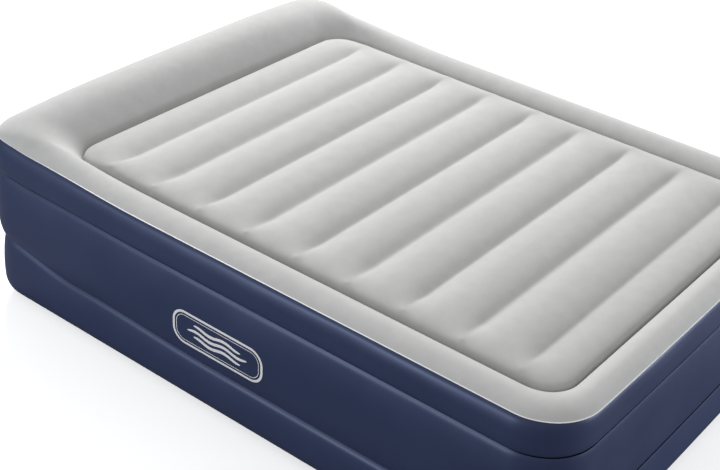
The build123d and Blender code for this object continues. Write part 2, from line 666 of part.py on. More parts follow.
def make_supply_lead():
    """From the gland's inner end, round the housing's back, to the switch."""
    y, z = BAY_Y + 30, PUMP_Z + 34
    return lead(
        [
            (BAY_BACK_X - 8.2, y, z),
            (BAY_BACK_X - 40, y, z),
            (BAY_BACK_X - 55, y - 30, PUMP_Z + 48),
            (BAY_BACK_X - 55, PUMP_Y - 50, PUMP_Z + 48),
            (BAY_BACK_X - 50, PUMP_Y - 88, PUMP_Z + 20),
            (BAY_BACK_X - 30, PUMP_Y - 88, PUMP_Z - 30),
            (736.8 - 25, SWITCH_Y - 5, SWITCH_Z),
            (736.8, SWITCH_Y - 5, SWITCH_Z),
        ],
        9,
    )


def make_motor_lead():
    """From the switch to the back of the motor."""
    return lead(
        [
            (736.8, SWITCH_Y + 5, SWITCH_Z),
            (736.8 - 25, SWITCH_Y + 5, SWITCH_Z),
            (690, PUMP_Y - 30, PUMP_Z - 48),
            (655, PUMP_Y + 10, PUMP_Z - 48),
            (655, PUMP_Y + 66, PUMP_Z - 40),
            (672, PUMP_Y + 82, PUMP_Z - 15),
            (MOTOR_X + 12, PUMP_Y + 82, PUMP_Z - 5),
        ],
        9,
    )


# ---- write one STEP file per piece ----


def main():
    pieces = {
        "top_sheet": make_top_sheet(),
        "upper_band": arched_band(UPPER_GROOVE_Z, SEAM_Z, UPPER_BULGE),
        "middle_band": make_middle_band(),
        "lower_band": make_lower_band(),
        "bottom_sheet": make_bottom_sheet(),
        "top_seam": make_top_seam(),
        "bottom_seam": make_bottom_seam(),
        "waist_web_upper": waist_web(UPPER_GROOVE_Z),
        "waist_web_lower": waist_web(LOWER_GROOVE_Z),
        "pump_collar": make_pump_collar(),
        "seal_ring": make_seal_ring(),
        "face_plate": make_face_plate(),
        "pump_housing": make_pump_housing(),
        "plate_screws": make_plate_screws(),
        "control_knob": make_control_knob(),
        "director_drum": make_director_drum(),
        "director_sleeve": make_director_sleeve(),
        "switch_frame": make_switch_frame(),
        "rocker_pin": make_rocker_pin(),
        "rocker_switch": make_rocker_switch(),
        "cord_bay": make_cord_bay(),
        "cord_gland": make_cord_gland(),
        "cord_bay_door": make_cord_bay_door(),
        "door_pin": make_door_pin(),
        "motor_can": make_motor_can(),
        "motor_end_cap": make_motor_end_cap(),
        "motor_bearings": make_motor_bearings(),
        "stator_core": make_stator_core(),
        "motor_shaft": make_motor_shaft(),
        "armature": make_armature(),
        "motor_cushion": make_motor_cushion(),
        "motor_cradle": make_motor_cradle(),
        "impeller": make_impeller(),
        "volute_body": make_volute_body(),
        "volute_cover": make_volute_cover(),
        "valve_seat": make_valve_seat(),
        "valve_disc": make_valve_disc(),
        "valve_cage": make_valve_cage(),
        "valve_spring": make_valve_spring(),
        "supply_lead": make_supply_lead(),
        "motor_lead": make_motor_lead(),
    }
    for index in range(BEAM_COUNT):
        pieces[f"beam_{index + 1}"] = make_beam(index)
    for side in ("near", "far", "head", "foot"):
        pieces[f"edge_beam_{side}"] = make_edge_beam(side)
    os.makedirs("parts", exist_ok=True)
    for name, piece in pieces.items():
        export_step(piece, f"parts/{name}.step")


main()
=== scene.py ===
import math

import bpy
import numpy as np
from mathutils import Matrix, Vector


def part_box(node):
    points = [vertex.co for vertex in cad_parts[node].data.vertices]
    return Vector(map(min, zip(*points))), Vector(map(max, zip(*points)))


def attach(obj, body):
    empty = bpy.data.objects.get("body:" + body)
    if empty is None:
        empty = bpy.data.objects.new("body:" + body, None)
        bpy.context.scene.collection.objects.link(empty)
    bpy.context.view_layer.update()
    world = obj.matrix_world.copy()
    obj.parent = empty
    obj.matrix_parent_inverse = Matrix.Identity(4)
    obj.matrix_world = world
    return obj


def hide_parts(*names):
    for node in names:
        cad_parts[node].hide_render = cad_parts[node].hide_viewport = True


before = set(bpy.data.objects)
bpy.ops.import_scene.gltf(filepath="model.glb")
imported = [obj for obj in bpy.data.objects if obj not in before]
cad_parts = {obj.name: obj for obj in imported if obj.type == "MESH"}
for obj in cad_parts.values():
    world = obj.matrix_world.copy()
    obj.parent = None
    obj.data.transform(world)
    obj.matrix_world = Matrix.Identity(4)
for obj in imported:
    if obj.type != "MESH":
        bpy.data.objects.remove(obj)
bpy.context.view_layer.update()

# Raised air mattress. Metres, +Z up, +Y towards the head.

# ---- sizes taken from the frame ----


def middle(node):
    low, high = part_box(node)
    return (low + high) / 2


FIN = 0.005  # the top seam's fin reaches this far past the wall
seam_low, seam_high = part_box("top_seam")
SEAM_W = seam_high.x - FIN
SEAM_L = seam_high.y - FIN
SEAM_Z = (seam_low.z + seam_high.z) / 2 - 0.001
UPPER_GROOVE_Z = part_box("upper_band")[0].z
LOWER_GROOVE_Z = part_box("middle_band")[0].z
FLOOR_INSET = SEAM_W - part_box("bottom_sheet")[1].x
PANEL_W = middle("edge_beam_far").x - 0.0055
PANEL_HEAD = middle("edge_beam_head").y
PANEL_FOOT = middle("edge_beam_foot").y - 0.0125
PANEL_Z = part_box("edge_beam_head")[1].z - 0.001
BEAM_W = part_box("beam_1")[1].x
WELD_YS = [middle(f"beam_{i}").y for i in range(1, 10)]
plate_low, plate_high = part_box("face_plate")
PUMP_Y, PUMP_Z = (plate_low.y + plate_high.y) / 2, (plate_low.z + plate_high.z) / 2
PLATE_HALF_W, PLATE_HALF_H = (plate_high.y - plate_low.y) / 2, (plate_high.z - plate_low.z) / 2
PLATE_BACK = plate_high.x - 0.004

# corners of the plan, and how far the ends draw in towards their corners
FOOT_R, HEAD_R, END_BOW = 0.146, 0.092, 0.006
PANEL_R = 0.088
# width of the panel's flat border, from its groove to the inner grid
PANEL_MARGIN = 0.055
RIM_RISE, PILLOW_RISE = 0.022, 0.050
CHANNEL_CROWN = 0.022
# depth and half width of the groove round the panel, on its rim side and on its panel side
RIM_CREASE, PANEL_CREASE = (0.014, 0.0036), (0.016, 0.0030)
# the knee where the lowest tier turns under, and how far the tier stands out there
KNEE_Z, KNEE_STAND = 0.072, 0.015
BASE_Z = 0.0004
# middle of the printed badge on the near wall
PRINT_Y, PRINT_Z = 0.045, 0.275


def ease(t):
    t = np.clip(t, 0.0, 1.0)
    return t * t * (3 - 2 * t)


# ---- plan of the bladder ----


def plan_side(points, axis, values):
    """Points of one side at given places along an axis."""
    steps = np.hypot(*np.diff(points, axis=0).T)
    run = np.concatenate([[0], np.cumsum(steps)])
    order = np.argsort(points[:, axis])
    at = np.interp(values, points[order, axis], run[order])
    return np.stack([np.interp(at, run, points[:, 0]), np.interp(at, run, points[:, 1])], 1)


def plan_sides(half_w, foot, head, foot_r, head_r, bow):
    """Foot, far, head and near side of a rounded oblong, each from mid-corner to mid-corner."""

    def turn(cx, cy, r, a0, a1):
        a = np.radians(np.linspace(a0, a1, 60))
        return np.stack([cx + r * np.cos(a), cy + r * np.sin(a)], 1)

    x0, x1 = -half_w, half_w
    corner_points = {
        "nf": (x0 + foot_r, foot + foot_r, foot_r),
        "ff": (x1 - foot_r, foot + foot_r, foot_r),
        "fh": (x1 - head_r, head - head_r, head_r),
        "nh": (x0 + head_r, head - head_r, head_r),
    }
    runs = [("nf", 225, "ff", 270), ("ff", 315, "fh", 0), ("fh", 45, "nh", 90), ("nh", 135, "nf", 180)]
    sides = []
    for start, a0, end, flat in runs:
        first = turn(*corner_points[start], a0, a0 + 45)
        last = turn(*corner_points[end], flat, flat + 45)
        t = np.linspace(0, 1, 200)[1:-1, None]
        straight = first[-1] * (1 - t) + last[0] * t
        side = np.concatenate([first, straight, last])
        reach = max(abs(foot), abs(head))
        pull = bow * (side[:, 0] / half_w) ** 2 * ease((np.abs(side[:, 1]) - reach + 0.3) / 0.25)
        side[:, 1] -= np.sign(side[:, 1]) * pull
        sides.append(side)
    return sides


def row_places():
    """Rows across the panel, close together at each weld, from foot (0) to head (1)."""
    inner_foot, inner_head = PANEL_FOOT + PANEL_MARGIN, PANEL_HEAD - PANEL_MARGIN
    stops = [inner_foot] + sorted(WELD_YS) + [inner_head]
    rows = [stops[0]]
    for a, b in zip(stops, stops[1:]):
        n = max(4, round((b - a) / 0.0125))
        u = np.arange(1, n + 1) / n
        u = 0.5 * u + 0.5 * (0.5 - 0.5 * np.cos(np.pi * u))
        rows += list(a + (b - a) * u)
    return np.array(rows)


ROWS = row_places()
NY = len(ROWS) - 1
NX = 108
COLS = np.linspace(-(PANEL_W - PANEL_MARGIN), PANEL_W - PANEL_MARGIN, NX + 1)


def matched_plans():
    """Seam, panel groove and inner oblong with the same number of points, anticlockwise."""
    seam = plan_sides(SEAM_W, -SEAM_L, SEAM_L, FOOT_R, HEAD_R, END_BOW)
    groove = plan_sides(PANEL_W, PANEL_FOOT, PANEL_HEAD, PANEL_R, PANEL_R, 0.0)
    rows01 = (ROWS - ROWS[0]) / (ROWS[-1] - ROWS[0])
    # how far the seam's rows slide towards the foot and the head end, to stay square to the rim
    foot_run, head_run = 0.32, 0.46
    outs, ins, cores = [], [], []
    for k in range(4):
        g, s = groove[k], seam[k]
        if k in (0, 2):
            part = np.linspace(0, 1, NX + 1)
            gx = g[0, 0] + (g[-1, 0] - g[0, 0]) * part
            sx = s[0, 0] + (s[-1, 0] - s[0, 0]) * part
            gp, sp = plan_side(g, 0, gx), plan_side(s, 0, sx)
            edge_y = ROWS[0] if k == 0 else ROWS[-1]
            cx = COLS if k == 0 else COLS[::-1]
            cp = np.stack([cx, np.full(NX + 1, edge_y)], 1)
        else:
            part = rows01 if k == 1 else rows01[::-1]
            low, high = min(g[0, 1], g[-1, 1]), max(g[0, 1], g[-1, 1])
            gy = low + (high - low) * part
            s_low, s_high = min(s[0, 1], s[-1, 1]), max(s[0, 1], s[-1, 1])
            sy = gy + (s_low - low) * (1 - ease((gy - low) / foot_run))
            sy += (s_high - high) * ease((gy - high + head_run) / head_run)
            gp, sp = plan_side(g, 1, gy), plan_side(s, 1, sy)
            edge_x = COLS[-1] if k == 1 else COLS[0]
            cy = ROWS if k == 1 else ROWS[::-1]
            cp = np.stack([np.full(NY + 1, edge_x), cy], 1)
        outs.append(sp[:-1])
        ins.append(gp[:-1])
        cores.append(cp[:-1])
    return [np.concatenate(p) for p in (outs, ins, cores)]


SEAM_PLAN, GROOVE_PLAN, CORE_PLAN = matched_plans()
COUNT = len(SEAM_PLAN)


def outward(plan):
    """Unit directions that point away from the bladder at every plan point."""
    along = np.roll(plan, -1, 0) - np.roll(plan, 1, 0)
    along /= np.hypot(*along.T)[:, None]
    return np.stack([along[:, 1], -along[:, 0]], 1)


SEAM_OUT = outward(SEAM_PLAN)


# ---- heights round the bladder ----


def seam_height(y):
    """The top weld climbs towards the head."""
    return SEAM_Z + 0.017 * ease((y - 0.35) / 0.5) + 0.012 * ease((y - 0.8) / 0.18)


def upper_groove_height(y):
    return UPPER_GROOVE_Z + 0.004 + 0.008 * ease((y - 0.3) / 0.5) + 0.01 * ease((y - 0.8) / 0.2)


def lower_groove_height(y):
    return LOWER_GROOVE_Z + 0.014 * ease((y - 0.1) / 0.5) + 0.042 * ease((y - 0.65) / 0.35)


# ---- the sleeping panel ----


def groove_distance(x, y):
    """How far inside the panel's groove a point is."""
    qx = np.abs(x) - (PANEL_W - PANEL_R)
    qy = np.abs(y - (PANEL_HEAD + PANEL_FOOT) / 2) - ((PANEL_HEAD - PANEL_FOOT) / 2 - PANEL_R)
    outside = np.hypot(np.maximum(qx, 0), np.maximum(qy, 0))
    return PANEL_R - outside - np.minimum(np.maximum(qx, qy), 0)


def inflate_panel():
    """Height of the panel's skin, blown up between its welds, on an even grid."""
    step, rounds, over = 0.006, 700, 1.93
    y0 = WELD_YS[0] - step * math.ceil((WELD_YS[0] - PANEL_FOOT) / step + 2)
    ys = np.arange(y0, PANEL_HEAD + 2 * step, step)
    xs = np.arange(-PANEL_W - step, PANEL_W + 2 * step, step)
    gx, gy = np.meshgrid(xs, ys)
    free = groove_distance(gx, gy) > 0
    # near its ends a weld is held a little up, so that it fades out into the border
    held = 0.014 * ease((np.abs(xs) - BEAM_W + 0.06) / 0.12)
    welded = np.abs(xs) < BEAM_W + 0.058
    skin = np.zeros_like(gx)
    for y in WELD_YS:
        row = int(round((y - y0) / step))
        free[row] &= ~welded
        skin[row] = np.where(welded, held, 0)
    pitch = WELD_YS[0] - WELD_YS[1]
    push = 8 * CHANNEL_CROWN / pitch**2 * step**2
    red = (np.add.outer(np.arange(len(ys)), np.arange(len(xs))) % 2) == 0
    for _ in range(rounds):
        for colour in (red, ~red):
            around = np.zeros_like(skin)
            around[1:-1, 1:-1] = skin[:-2, 1:-1] + skin[2:, 1:-1] + skin[1:-1, :-2] + skin[1:-1, 2:]
            moved = skin + over * ((around + push) / 4 - skin)
            skin = np.where(free & colour, moved, skin)
    return xs, ys, skin


PANEL_XS, PANEL_YS, PANEL_SKIN = inflate_panel()


def panel_height(x, y):
    """Height of the panel over its groove."""
    step = PANEL_XS[1] - PANEL_XS[0]
    u = np.clip((x - PANEL_XS[0]) / step, 0, len(PANEL_XS) - 1.001)
    v = np.clip((y - PANEL_YS[0]) / step, 0, len(PANEL_YS) - 1.001)
    i, j = u.astype(int), v.astype(int)
    fu, fv = u - i, v - j
    s = PANEL_SKIN
    low = s[j, i] * (1 - fu) + s[j, i + 1] * fu
    high = s[j + 1, i] * (1 - fu) + s[j + 1, i + 1] * fu
    return low * (1 - fv) + high * fv


def crease(distance, depth, width):
    """Depth of a welded groove at a distance from its line."""
    return depth * np.exp(-((distance / width) ** 2))


# ---- meshes ----


def mesh_piece(name, points, faces, slot):
    mesh = bpy.data.meshes.new(name)
    mesh.from_pydata([tuple(p) for p in points], [], np.concatenate(faces).tolist())
    mesh.update()
    obj = bpy.data.objects.new(name, mesh)
    bpy.context.collection.objects.link(obj)
    mesh.polygons.foreach_set("use_smooth", [True] * len(mesh.polygons))
    mesh.materials.append(FINISHES[slot])
    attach(obj, "root")
    return obj


def soften(obj):
    mod = obj.modifiers.new("soften", "SUBSURF")
    mod.levels = mod.render_levels = 1
    mod.subdivision_type = "CATMULL_CLARK"


def thicken(obj, amount):
    mod = obj.modifiers.new("sheet", "SOLIDIFY")
    mod.thickness = amount
    mod.offset = -1


def ring_faces(first, second):
    """Quads between two rings that run anticlockwise, first outside or below."""
    here = np.arange(COUNT)
    there = (here + 1) % COUNT
    return np.stack([first + here, first + there, second + there, second + here], 1)


def stack_rings(rings):
    return [ring_faces(k * COUNT, (k + 1) * COUNT) for k in range(len(rings) - 1)]


def grid_faces(index):
    a, b, c, d = index[:-1, :-1], index[:-1, 1:], index[1:, 1:], index[1:, :-1]
    return np.stack([a.ravel(), b.ravel(), c.ravel(), d.ravel()], 1)


def fill_oblong(rings, level):
    """Points and faces of closed rings round the oblong grid, with the grid itself at a level."""
    x, y = (part.ravel() for part in np.meshgrid(COLS[1:-1], ROWS[1:-1]))
    inner = np.column_stack([x, y, level(x, y)])
    index = core_index(len(rings) * COUNT, (len(rings) - 1) * COUNT)
    return np.concatenate(rings + [inner]), stack_rings(rings) + [grid_faces(index)]


def core_index(start, ring_start):
    """Indices of the oblong grid: its border is the last ring, its inside starts at start."""
    index = np.zeros((NY + 1, NX + 1), int)
    index[0, :-1] = ring_start + np.arange(NX)
    index[:-1, -1] = ring_start + NX + np.arange(NY)
    index[-1, 1:] = (ring_start + NX + NY + np.arange(NX))[::-1]
    index[1:, 0] = (ring_start + 2 * NX + NY + np.arange(NY))[::-1]
    index[1:-1, 1:-1] = start + np.arange((NX - 1) * (NY - 1)).reshape(NY - 1, NX - 1)
    return index


def rim_rise(seam, t):
    """Rise of the rim and of the pillow over the straight line from seam (0) to groove (1)."""
    x, y = seam[:, 0], seam[:, 1]
    along = np.maximum(y - 0.52, 0) + np.maximum(SEAM_W - np.abs(x), 0) * (y > 0.5)
    to_head = ease(along / 0.90)
    rise = RIM_RISE + PILLOW_RISE * to_head
    if t >= 0.5:
        return rise * (1 - (2 * t - 1) ** 2)
    outer = 1 - 2 * t
    rim, pillow = 1 - outer**1.9, (1 - outer**1.8) ** (1 / 1.8)
    return rise * (rim + (pillow - rim) * to_head)


def panel_level(x, y):
    """Height of the finished panel: its skin, its round shoulder and its groove."""
    inside = groove_distance(x, y)
    off_groove = 1 - np.exp(-np.maximum(inside, 0) / 0.006)
    return PANEL_Z + (panel_height(x, y) + 0.008) * off_groove - crease(inside, *PANEL_CREASE)


def make_top_sheet():
    """The rim and the pillow from the top weld to the groove, then the panel inside it."""
    t = np.linspace(0, 1, 27)
    t = 0.45 * t + 0.55 * (0.5 - 0.5 * np.cos(np.pi * t))
    rings = []
    seam_z = seam_height(SEAM_PLAN[:, 1])
    for part in t:
        plan = SEAM_PLAN * (1 - part) + GROOVE_PLAN * part
        z = seam_z * (1 - part) + PANEL_Z * part + rim_rise(SEAM_PLAN, part)
        z -= crease(np.hypot(*(plan - GROOVE_PLAN).T), *RIM_CREASE)
        rings.append(np.column_stack([plan, z]))
    for part in (np.arange(1, 11) / 10) ** 1.6:
        plan = GROOVE_PLAN * (1 - part) + CORE_PLAN * part
        rings.append(np.column_stack([plan, panel_level(plan[:, 0], plan[:, 1])]))
    obj = mesh_piece("flocked_top", *fill_oblong(rings, panel_level), "flocked_top")
    soften(obj)
    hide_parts("top_sheet")


def wall_drift(angle_run, z, size):
    """Slow, slight unevenness of a blown wall."""
    return size * (
        np.sin(angle_run * 9.0 + z * 7.0) * 0.5
        + np.sin(angle_run * 17.0 - z * 11.0 + 1.3) * 0.3
        + np.sin(angle_run * 31.0 + z * 5.0 + 0.4) * 0.2
    )


RUN = np.concatenate([[0], np.cumsum(np.hypot(*np.diff(SEAM_PLAN, axis=0).T))])
RUN = 2 * np.pi * RUN / (RUN[-1] + np.hypot(*(SEAM_PLAN[0] - SEAM_PLAN[-1])))


def plate_pull(plan, z, stand):
    """Draws the wall in behind the pump's plate."""
    dy = np.maximum(np.abs(plan[:, 1] - PUMP_Y) - PLATE_HALF_W, 0)
    dz = np.maximum(np.abs(z - PUMP_Z) - PLATE_HALF_H, 0)
    near = (1 - ease((np.hypot(dy, dz) - 0.006) / 0.05)) * (plan[:, 0] > 0)
    behind = PLATE_BACK - 0.0018 - SEAM_W
    return stand * (1 - near) + np.minimum(stand, behind) * near


def tier_shape(v):
    """Fullness of a tier over its height: a tight foot, a flat middle and a long round shoulder."""
    foot = 1 - np.clip(1 - v / 0.30, 0, 1) ** 2.4
    shoulder = 1 - np.clip((v - 0.56) / 0.44, 0, 1) ** 2.2
    return foot * shoulder


CALM = 1 - 0.55 * np.clip(-SEAM_OUT[:, 1], 0, 1)


def band_rows(low_z, high_z, bulge, base_low, base_high, rows):
    """Rings of one tier from its lower to its upper weld line."""
    rings = []
    v_rows = np.linspace(0, 1, rows)
    v_rows = 0.5 * v_rows + 0.5 * (0.5 - 0.5 * np.cos(np.pi * v_rows))
    for v in v_rows:
        z = low_z + (high_z - low_z) * v
        stand = base_low * (1 - v) + base_high * v + bulge * tier_shape(v) * CALM
        stand = stand - crease(v * (high_z - low_z), 0.006, 0.006)
        stand = stand - crease((1 - v) * (high_z - low_z), 0.003, 0.005) * CALM
        stand = stand + wall_drift(RUN, z, 0.0012) * (4 * v * (1 - v))
        stand = plate_pull(SEAM_PLAN, z, stand)
        rings.append(np.column_stack([SEAM_PLAN + SEAM_OUT * stand[:, None], z]))
    return rings


def wall_tier(name, points, faces, node):
    """One tier of the wall, in the place of its CAD node."""
    obj = mesh_piece(name, points, faces, "wall_pvc")
    soften(obj)
    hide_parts(node)
    return obj


def make_upper_band():
    y = SEAM_PLAN[:, 1]
    rings = band_rows(upper_groove_height(y), seam_height(y) - 0.001, 0.012, 0.003, 0.001, 17)
    wall_tier("wall_upper_tier", np.concatenate(rings), stack_rings(rings), "upper_band")


def make_middle_band():
    """The middle tier, open behind the pump's plate."""
    y = SEAM_PLAN[:, 1]
    rings = band_rows(lower_groove_height(y), upper_groove_height(y), 0.015, 0.003, 0.003, 25)
    points = np.concatenate(rings)
    faces = np.concatenate(stack_rings(rings))
    centre = points[faces].mean(axis=1)
    behind_plate = (
        (np.abs(centre[:, 1] - PUMP_Y) < PLATE_HALF_W - 0.012)
        & (np.abs(centre[:, 2] - PUMP_Z) < PLATE_HALF_H - 0.012)
        & (centre[:, 0] > 0)
    )
    return wall_tier("wall_middle_tier", points, [faces[~behind_plate]], "middle_band")


def make_lower_band():
    """The lowest tier, which turns under to the base sheet below its knee."""
    top = lower_groove_height(SEAM_PLAN[:, 1])
    under = FLOOR_INSET - 0.002
    rings = []
    for a in np.radians(np.linspace(90, 0, 13)[:-1]):
        z = np.full(COUNT, KNEE_Z * (1 - math.sin(a)))
        stand = KNEE_STAND - under * (1 - math.cos(a))
        rings.append(np.column_stack([SEAM_PLAN + SEAM_OUT * stand, z]))
    for v in np.linspace(0, 1, 14):
        z = KNEE_Z + (top - KNEE_Z) * v
        stand = KNEE_STAND * (1 - v ** (0.2 + 2 * CALM)) + 0.003 * v
        stand = stand - crease((1 - v) * (top - KNEE_Z), 0.005, 0.005) * CALM**2
        rings.append(np.column_stack([SEAM_PLAN + SEAM_OUT * stand[:, None], z]))
    wall_tier("wall_lower_tier", np.concatenate(rings), stack_rings(rings), "lower_band")


def make_bottom_sheet():
    edge = SEAM_PLAN - SEAM_OUT * (FLOOR_INSET - 0.019)
    rings = []
    for part in (0, 0.03, 0.1, 0.3, 0.6, 1.0):
        plan = edge * (1 - part) + CORE_PLAN * part
        rings.append(np.column_stack([plan, np.full(COUNT, BASE_Z)]))
    points, faces = fill_oblong(rings, lambda x, y: np.full_like(x, BASE_Z))
    obj = mesh_piece("base_sheet", points, [part[:, ::-1] for part in faces], "base_pvc")
    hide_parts("bottom_sheet")


def make_waist_web(name, height, node):
    """Girth web inside the wall, level with a side groove."""
    rings = []
    for inset in (0.009, 0.025, 0.042):
        rings.append(np.column_stack([SEAM_PLAN - SEAM_OUT * inset, height]))
    obj = mesh_piece(name, np.concatenate(rings), stack_rings(rings), "inner_web")
    thicken(obj, 0.0012)
    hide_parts(node)


def make_edge_beam(node):
    """An upright strip under the panel's groove, a little lower than the groove's bottom."""
    low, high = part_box(node)
    top = high.z - 0.024
    long_axis = 1 if high.y - low.y > high.x - low.x else 0
    centre, reach = (low + high) / 2, (high - low) / 2
    rows, run = 7, np.linspace(-1, 1, 49)
    points = []
    for side in (-1, 1):
        for level in np.linspace(0, 1, rows):
            sway = 0.0015 * np.sin(run * 9) * np.sin(np.pi * level) + side * min(reach.x, reach.y, 0.0006)
            row = np.zeros((len(run), 3))
            row[:, long_axis] = centre[long_axis] + run * reach[long_axis]
            row[:, 1 - long_axis] = centre[1 - long_axis] + sway
            row[:, 2] = low.z + (top - low.z) * level
            points.append(row)
    index = np.arange(2 * rows * len(run)).reshape(2 * rows, len(run))
    loop = [*range(rows), *range(2 * rows - 1, rows - 1, -1)]
    faces = [
        np.column_stack([index[a, :-1], index[a, 1:], index[b, 1:], index[b, :-1]])
        for a, b in zip(loop, loop[1:] + loop[:1])
    ]
    obj = mesh_piece(f"own_{node}", np.concatenate(points), faces, "inner_web")
    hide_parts(node)


def make_side_print(wall):
    """A plain printed badge on the near wall: a rounded outline with three rolling bars in it."""
    half_w, half_h, corner = 0.168, 0.056, 0.046
    faces, flat = [], []

    def add_strip(first, second):
        start = sum(len(part) for part in flat)
        flat.extend([first, (first + second) / 2, second])
        size = len(first)
        for row in range(2):
            a = start + row * size + np.arange(size - 1)
            faces.append(np.column_stack([a, a + 1, a + size + 1, a + size]))

    turn = np.linspace(0.25 * np.pi, 2.25 * np.pi, 121)
    for inset in (0.0, 0.0135):
        outer, inner = (
            np.column_stack(
                [
                    np.sign(np.cos(turn)) * (half_w - corner) + (corner - inset - edge) * np.cos(turn),
                    np.sign(np.sin(turn)) * (half_h - corner) + (corner - inset - edge) * np.sin(turn),
                ]
            )
            for edge in (0.0, 0.0075 if inset == 0 else 0.002)
        )
        add_strip(outer, inner)
    run = np.linspace(-1, 1, 61)
    for level, reach in ((0.019, 0.088), (0.0, 0.112), (-0.019, 0.088)):
        wave = level + 0.0042 * np.sin(run * reach * 60)
        slim = 0.0048 * np.sqrt(np.maximum(1 - run**6, 0.0))
        add_strip(np.column_stack([run * reach, wave + slim]), np.column_stack([run * reach, wave - slim]))
    shape = wall.evaluated_get(bpy.context.evaluated_depsgraph_get())
    points = []
    for along, up in np.concatenate(flat):
        place = Vector((-1.2, PRINT_Y - along, PRINT_Z + up))
        _, where, normal, _ = shape.ray_cast(place, Vector((1, 0, 0)))
        points.append(where + normal * 0.0009)
    mesh_piece("side_print", points, faces, "seam_pvc")


def make_top_weld():
    """A small rounded bead along the top weld."""
    height = seam_height(SEAM_PLAN[:, 1])
    reach, half = 0.0022, 0.0009
    rings = []
    for a in np.radians(np.arange(0, 360, 45)):
        plan = SEAM_PLAN + SEAM_OUT * (reach * math.cos(a))
        rings.append(np.column_stack([plan, height + half * math.sin(a)]))
    closing = ring_faces((len(rings) - 1) * COUNT, 0)
    obj = mesh_piece("top_weld", np.concatenate(rings), stack_rings(rings) + [closing], "seam_pvc")
    soften(obj)
    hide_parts("top_seam")


# ---- finishes ----


def new_group(name, inputs, outputs):
    group = bpy.data.node_groups.new(name, "ShaderNodeTree")
    for label, kind, value in inputs:
        socket = group.interface.new_socket(name=label, in_out="INPUT", socket_type=kind)
        socket.default_value = value
    for label, kind in outputs:
        group.interface.new_socket(name=label, in_out="OUTPUT", socket_type=kind)
    nodes = group.nodes
    return group, nodes, group.links, nodes.new("NodeGroupInput"), nodes.new("NodeGroupOutput")


def make_colour_drift():
    """Slow change between two near shades."""
    group, nodes, links, gin, gout = new_group(
        "colour_drift",
        [
            ("Shade", "NodeSocketColor", (0.5, 0.5, 0.5, 1)),
            ("Other shade", "NodeSocketColor", (0.4, 0.4, 0.4, 1)),
            ("Scale", "NodeSocketFloat", 6.0),
            ("Contrast", "NodeSocketFloat", 0.35),
        ],
        [("Colour", "NodeSocketColor"), ("Mask", "NodeSocketFloat")],
    )
    place = nodes.new("ShaderNodeTexCoord")
    noise = nodes.new("ShaderNodeTexNoise")
    noise.inputs["Detail"].default_value = 6.0
    noise.inputs["Roughness"].default_value = 0.6
    spread = nodes.new("ShaderNodeMapRange")
    lower = nodes.new("ShaderNodeMath")
    lower.operation = "SUBTRACT"
    lower.inputs[0].default_value = 0.5
    upper = nodes.new("ShaderNodeMath")
    upper.operation = "ADD"
    upper.inputs[0].default_value = 0.5
    mix = nodes.new("ShaderNodeMix")
    mix.data_type = "RGBA"
    links.new(place.outputs["Object"], noise.inputs["Vector"])
    links.new(gin.outputs["Scale"], noise.inputs["Scale"])
    links.new(gin.outputs["Contrast"], lower.inputs[1])
    links.new(gin.outputs["Contrast"], upper.inputs[1])
    links.new(noise.outputs["Fac"], spread.inputs["Value"])
    links.new(lower.outputs[0], spread.inputs["From Min"])
    links.new(upper.outputs[0], spread.inputs["From Max"])
    links.new(spread.outputs[0], mix.inputs["Factor"])
    links.new(gin.outputs["Shade"], mix.inputs["A"])
    links.new(gin.outputs["Other shade"], mix.inputs["B"])
    links.new(mix.outputs["Result"], gout.inputs["Colour"])
    links.new(spread.outputs[0], gout.inputs["Mask"])
    return group


def make_fine_grain():
    """Small grain and a larger, softer one under it."""
    group, nodes, links, gin, gout = new_group(
        "fine_grain",
        [
            ("Scale", "NodeSocketFloat", 400.0),
            ("Soft scale", "NodeSocketFloat", 30.0),
            ("Soft share", "NodeSocketFloat", 0.3),
        ],
        [("Height", "NodeSocketFloat")],
    )
    place = nodes.new("ShaderNodeTexCoord")
    fine = nodes.new("ShaderNodeTexNoise")
    fine.inputs["Detail"].default_value = 3.0
    soft = nodes.new("ShaderNodeTexNoise")
    soft.inputs["Detail"].default_value = 2.0
    mix = nodes.new("ShaderNodeMix")
    links.new(place.outputs["Object"], fine.inputs["Vector"])
    links.new(place.outputs["Object"], soft.inputs["Vector"])
    links.new(gin.outputs["Scale"], fine.inputs["Scale"])
    links.new(gin.outputs["Soft scale"], soft.inputs["Scale"])
    links.new(gin.outputs["Soft share"], mix.inputs["Factor"])
    links.new(fine.outputs["Fac"], mix.inputs["A"])
    links.new(soft.outputs["Fac"], mix.inputs["B"])
    links.new(mix.outputs["Result"], gout.inputs["Height"])
    return group


def make_edge_rub():
    """Where raised edges have been rubbed."""
    group, nodes, links, gin, gout = new_group(
        "edge_rub", [("Amount", "NodeSocketFloat", 0.5)], [("Mask", "NodeSocketFloat")]
    )
    geometry = nodes.new("ShaderNodeNewGeometry")
    place = nodes.new("ShaderNodeTexCoord")
    noise = nodes.new("ShaderNodeTexNoise")
    noise.inputs["Scale"].default_value = 160.0
    noise.inputs["Detail"].default_value = 4.0
    raised = nodes.new("ShaderNodeMapRange")
    raised.inputs["From Min"].default_value = 0.52
    raised.inputs["From Max"].default_value = 0.62
    broken = nodes.new("ShaderNodeMath")
    broken.operation = "MULTIPLY"
    scaled = nodes.new("ShaderNodeMath")
    scaled.operation = "MULTIPLY"
    links.new(geometry.outputs["Pointiness"], raised.inputs["Value"])
    links.new(place.outputs["Object"], noise.inputs["Vector"])
    links.new(raised.outputs[0], broken.inputs[0])
    links.new(noise.outputs["Fac"], broken.inputs[1])
    links.new(broken.outputs[0], scaled.inputs[0])
    links.new(gin.outputs["Amount"], scaled.inputs[1])
    links.new(scaled.outputs[0], gout.inputs["Mask"])
    return group


